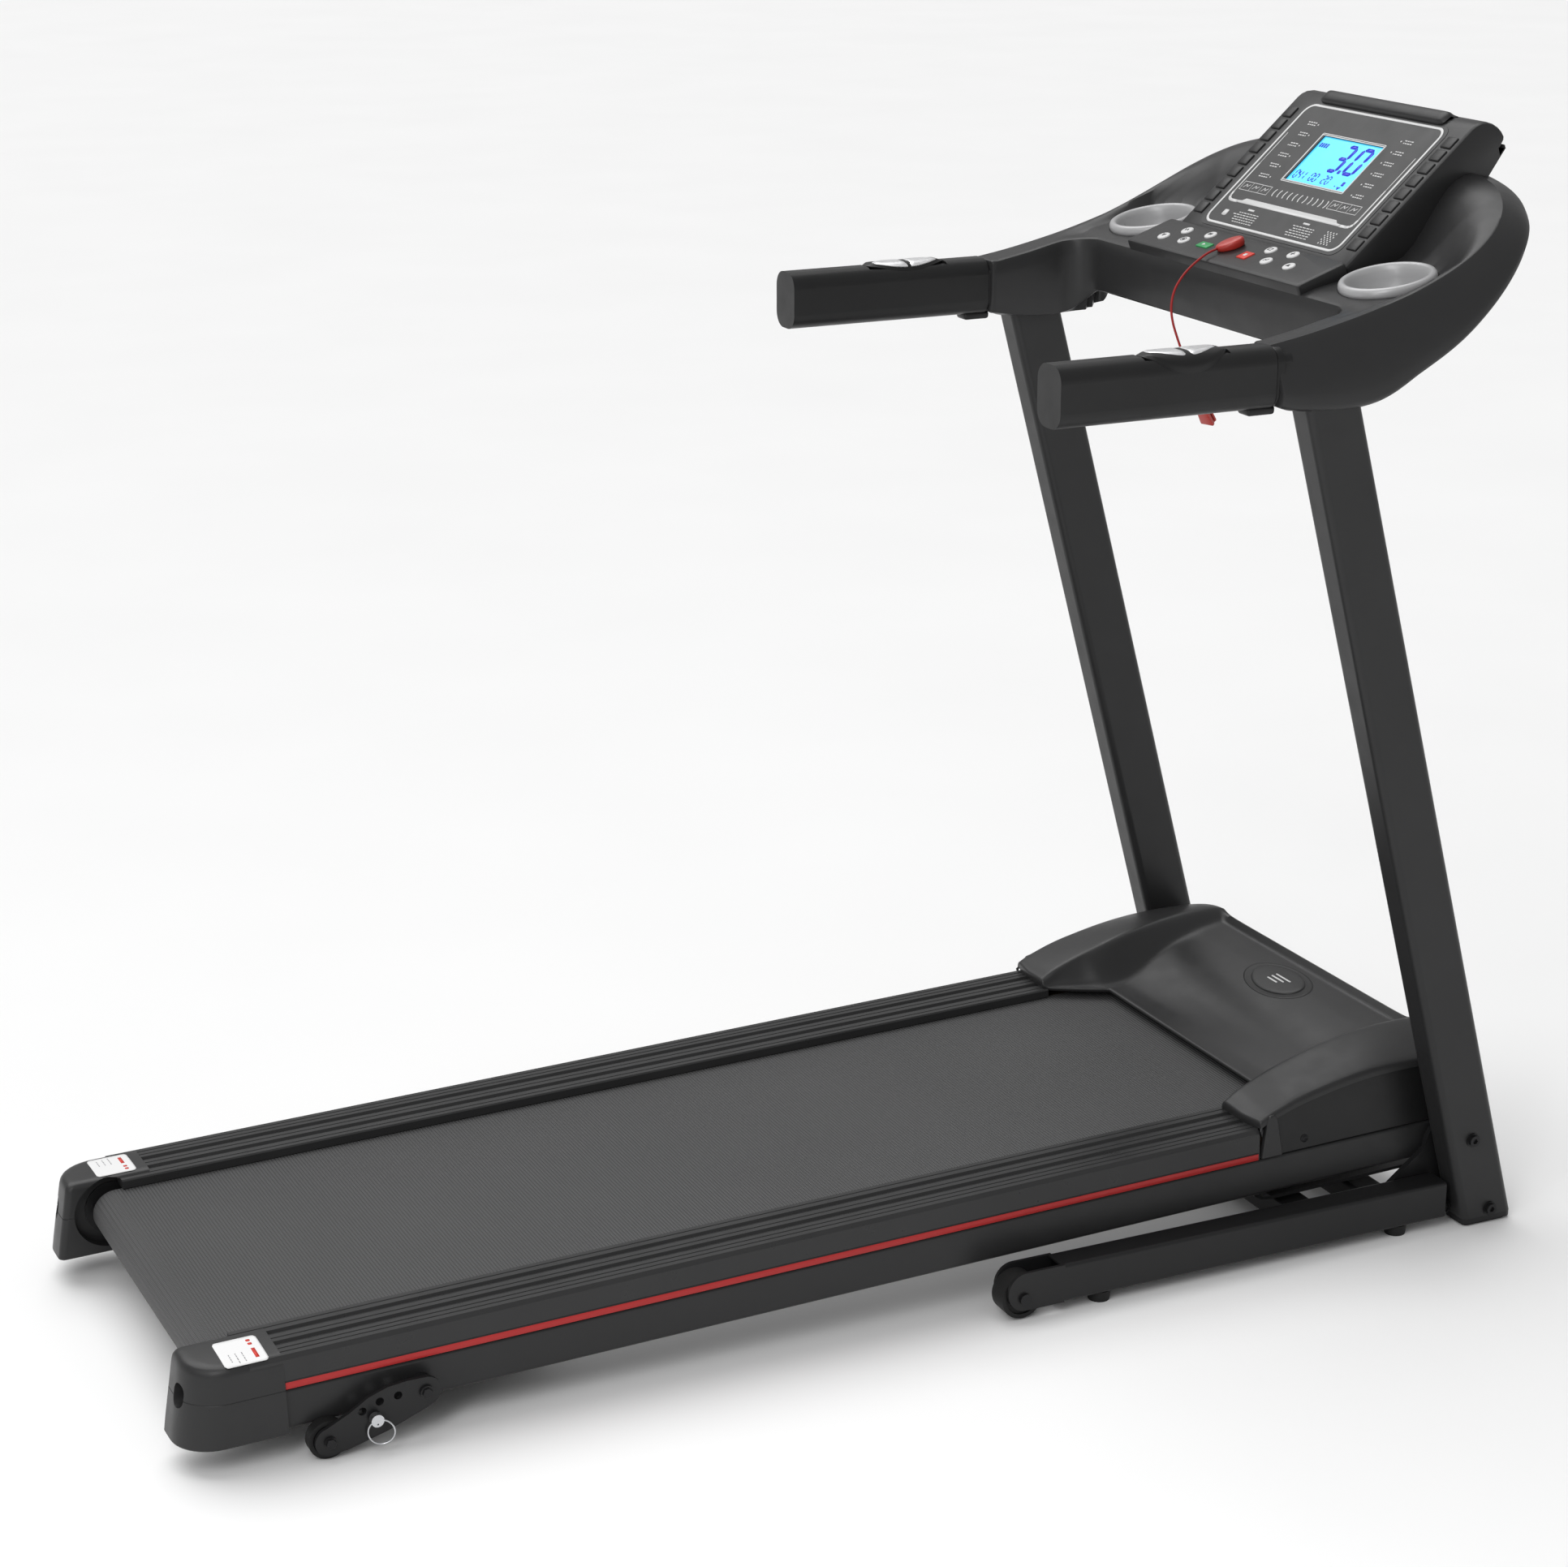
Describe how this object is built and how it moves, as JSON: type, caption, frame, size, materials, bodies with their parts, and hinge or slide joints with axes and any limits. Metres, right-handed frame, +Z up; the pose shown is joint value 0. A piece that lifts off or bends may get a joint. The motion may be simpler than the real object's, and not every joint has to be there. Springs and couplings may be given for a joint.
{
  "type": "folding treadmill",
  "caption": "Folding motorised treadmill with side handles, console, cup holders, safety key and rear height feet.",
  "frame": {"origin": "centre of the footprint on the floor", "axes": "+X is the walking direction, +Y is the walker's left, +Z is up"},
  "size_m": [1.5311, 0.6578, 1.2018],
  "materials": {
    "frame_black": "satin powder coat",
    "frame_charcoal": "satin powder coat",
    "plastic_black": "fine grain",
    "plastic_charcoal": "fine grain",
    "rail_plastic": "satin, ridged",
    "belt": "woven diamond texture",
    "rubber": "matte",
    "steel": "brushed",
    "black_steel": "black oxide",
    "chrome": "polished",
    "silver_plastic": "silver paint",
    "overlay": "printed polyester",
    "lcd": "backlit",
    "board": "coated fibreboard",
    "red_plastic": "moulded",
    "red_cord": "sleeved",
    "white_key": "satin",
    "green_key": "moulded",
    "grip_foam": "dense foam",
    "motor_steel": "satin"
  },
  "bodies": {
    "base_frame": {"base_arm_right": "frame_black", "base_arm_left": "frame_black", "base_crossbars": "frame_black", "base_feet": "rubber", "pivot_brackets": "frame_black", "fold_bolts": "steel", "upright_right": "frame_charcoal", "upright_left": "frame_charcoal", "base_bolts": "black_steel", "console_tray": "plastic_charcoal", "console_cover": "plastic_black", "cup_holder_right": "silver_plastic", "cup_holder_left": "silver_plastic", "display_housing": "plastic_charcoal", "display_overlay": "overlay", "lcd_window": "lcd", "key_panel": "plastic_charcoal", "handlebars": "frame_black", "grips": "grip_foam", "pulse_housings": "plastic_black", "pulse_plates": "chrome", "safety_cord": "red_cord", "clip_body": "red_plastic"},
    "deck": {"frame_tube_right": "frame_charcoal", "frame_tube_left": "frame_charcoal", "crossmembers": "frame_charcoal", "running_board": "board", "board_cushions": "rubber", "running_belt": "belt", "foot_rail_right": "rail_plastic", "foot_rail_left": "rail_plastic", "end_cap_right": "plastic_charcoal", "end_cap_left": "plastic_charcoal", "motor": "motor_steel", "drive_belt": "rubber", "motor_cover": "plastic_charcoal", "belly_pan": "plastic_charcoal"},
    "front_roller_drum": {"front_roller": "steel"},
    "rear_roller_drum": {"rear_roller": "steel"},
    "motor_rotor": {"motor_pulley": "steel"},
    "transport_wheel_r": {"transport_wheel_right": "rubber"},
    "transport_wheel_l": {"transport_wheel_left": "rubber"},
    "rear_foot_right": {"foot_bracket_right": "frame_black"},
    "rear_foot_left": {"foot_bracket_left": "frame_black"},
    "rear_wheel_right": {"foot_wheel_right": "rubber"},
    "rear_wheel_left": {"foot_wheel_left": "rubber"},
    "height_pin_right": {"lock_pin_right": "steel"},
    "height_pin_left": {"lock_pin_left": "steel"},
    "red_safety_key": {"safety_key": "red_plastic"},
    "clip_jaw": {"clip_lever": "red_plastic"},
    "key_1_cap": {"key_1": "white_key"},
    "key_2_cap": {"key_2": "white_key"},
    "key_3_cap": {"key_3": "white_key"},
    "key_4_cap": {"key_4": "white_key"},
    "key_5_cap": {"key_5": "white_key"},
    "key_6_cap": {"key_6": "white_key"},
    "key_7_cap": {"key_7": "white_key"},
    "key_8_cap": {"key_8": "white_key"},
    "start_key_cap": {"start_key": "green_key"},
    "stop_key_cap": {"stop_key": "red_plastic"}
  },
  "joints": [
    {"name": "deck_fold", "type": "hinge", "parent": "base_frame", "child": "deck", "pos_m": [0.68, 0, 0.085], "axis": [0, 1, 0], "range_deg": [0, 68]},
    {"name": "rear_foot_right_swing", "type": "hinge", "parent": "deck", "child": "rear_foot_right", "pos_m": [-0.52935, -0.274, 0.05241], "axis": [0, -1, 0], "range_deg": [0, 36]},
    {"name": "rear_foot_left_swing", "type": "hinge", "parent": "deck", "child": "rear_foot_left", "pos_m": [-0.52935, 0.274, 0.05241], "axis": [0, -1, 0], "range_deg": [0, 36]},
    {"name": "rear_wheel_right_spin", "type": "hinge", "parent": "rear_foot_right", "child": "rear_wheel_right", "pos_m": [-0.62873, -0.2743, 0.02008], "axis": [0, 1, 0], "continuous": true},
    {"name": "rear_wheel_left_spin", "type": "hinge", "parent": "rear_foot_left", "child": "rear_wheel_left", "pos_m": [-0.62873, 0.2743, 0.02008], "axis": [0, 1, 0], "continuous": true},
    {"name": "height_pin_right_pull", "type": "slide", "parent": "rear_foot_right", "child": "height_pin_right", "axis": [0, -1, 0], "range_m": [0, 0.03]},
    {"name": "height_pin_left_pull", "type": "slide", "parent": "rear_foot_left", "child": "height_pin_left", "axis": [0, 1, 0], "range_m": [0, 0.03]},
    {"name": "transport_wheel_right_spin", "type": "hinge", "parent": "base_frame", "child": "transport_wheel_r", "pos_m": [0.122, -0.2975, 0.026], "axis": [0, 1, 0], "continuous": true},
    {"name": "transport_wheel_left_spin", "type": "hinge", "parent": "base_frame", "child": "transport_wheel_l", "pos_m": [0.122, 0.2975, 0.026], "axis": [0, 1, 0], "continuous": true},
    {"name": "front_roller_spin", "type": "hinge", "parent": "deck", "child": "front_roller_drum", "pos_m": [0.51536, 0, 0.10756], "axis": [0, 1, 0], "continuous": true},
    {"name": "rear_roller_spin", "type": "hinge", "parent": "deck", "child": "rear_roller_drum", "pos_m": [-0.70721, 0, 0.07533], "axis": [0, 1, 0], "continuous": true},
    {"name": "motor_pulley_spin", "type": "hinge", "parent": "deck", "child": "motor_rotor", "pos_m": [0.61492, 0, 0.12549], "axis": [0, 1, 0], "continuous": true},
    {"name": "key_1_press", "type": "slide", "parent": "base_frame", "child": "key_1_cap", "axis": [0.3256, 0, -0.9455], "range_m": [0, 0.001], "stiffness_N_per_m": 600},
    {"name": "key_2_press", "type": "slide", "parent": "base_frame", "child": "key_2_cap", "axis": [0.3256, 0, -0.9455], "range_m": [0, 0.001], "stiffness_N_per_m": 600},
    {"name": "key_3_press", "type": "slide", "parent": "base_frame", "child": "key_3_cap", "axis": [0.3256, 0, -0.9455], "range_m": [0, 0.001], "stiffness_N_per_m": 600},
    {"name": "key_4_press", "type": "slide", "parent": "base_frame", "child": "key_4_cap", "axis": [0.3256, 0, -0.9455], "range_m": [0, 0.001], "stiffness_N_per_m": 600},
    {"name": "key_5_press", "type": "slide", "parent": "base_frame", "child": "key_5_cap", "axis": [0.3256, 0, -0.9455], "range_m": [0, 0.001], "stiffness_N_per_m": 600},
    {"name": "key_6_press", "type": "slide", "parent": "base_frame", "child": "key_6_cap", "axis": [0.3256, 0, -0.9455], "range_m": [0, 0.001], "stiffness_N_per_m": 600},
    {"name": "key_7_press", "type": "slide", "parent": "base_frame", "child": "key_7_cap", "axis": [0.3256, 0, -0.9455], "range_m": [0, 0.001], "stiffness_N_per_m": 600},
    {"name": "key_8_press", "type": "slide", "parent": "base_frame", "child": "key_8_cap", "axis": [0.3256, 0, -0.9455], "range_m": [0, 0.001], "stiffness_N_per_m": 600},
    {"name": "start_key_press", "type": "slide", "parent": "base_frame", "child": "start_key_cap", "axis": [0.3256, 0, -0.9455], "range_m": [0, 0.001], "stiffness_N_per_m": 600},
    {"name": "stop_key_press", "type": "slide", "parent": "base_frame", "child": "stop_key_cap", "axis": [0.3256, 0, -0.9455], "range_m": [0, 0.001], "stiffness_N_per_m": 600},
    {"name": "safety_key_lift", "type": "slide", "parent": "base_frame", "child": "red_safety_key", "axis": [-0.3256, 0, 0.9455], "range_m": [0, 0.03]},
    {"name": "clip_jaw_open", "type": "hinge", "parent": "base_frame", "child": "clip_jaw", "pos_m": [0.47106, -0.0465, 0.89365], "axis": [0.342, -0.9397, 0], "range_deg": [0, 14], "stiffness_Nm_per_rad": 0.05}
  ],
  "couplings": [
    {"joint": "rear_roller_spin", "follows": "front_roller_spin", "ratio": 1},
    {"joint": "motor_pulley_spin", "follows": "front_roller_spin", "ratio": 2.5}
  ]
}
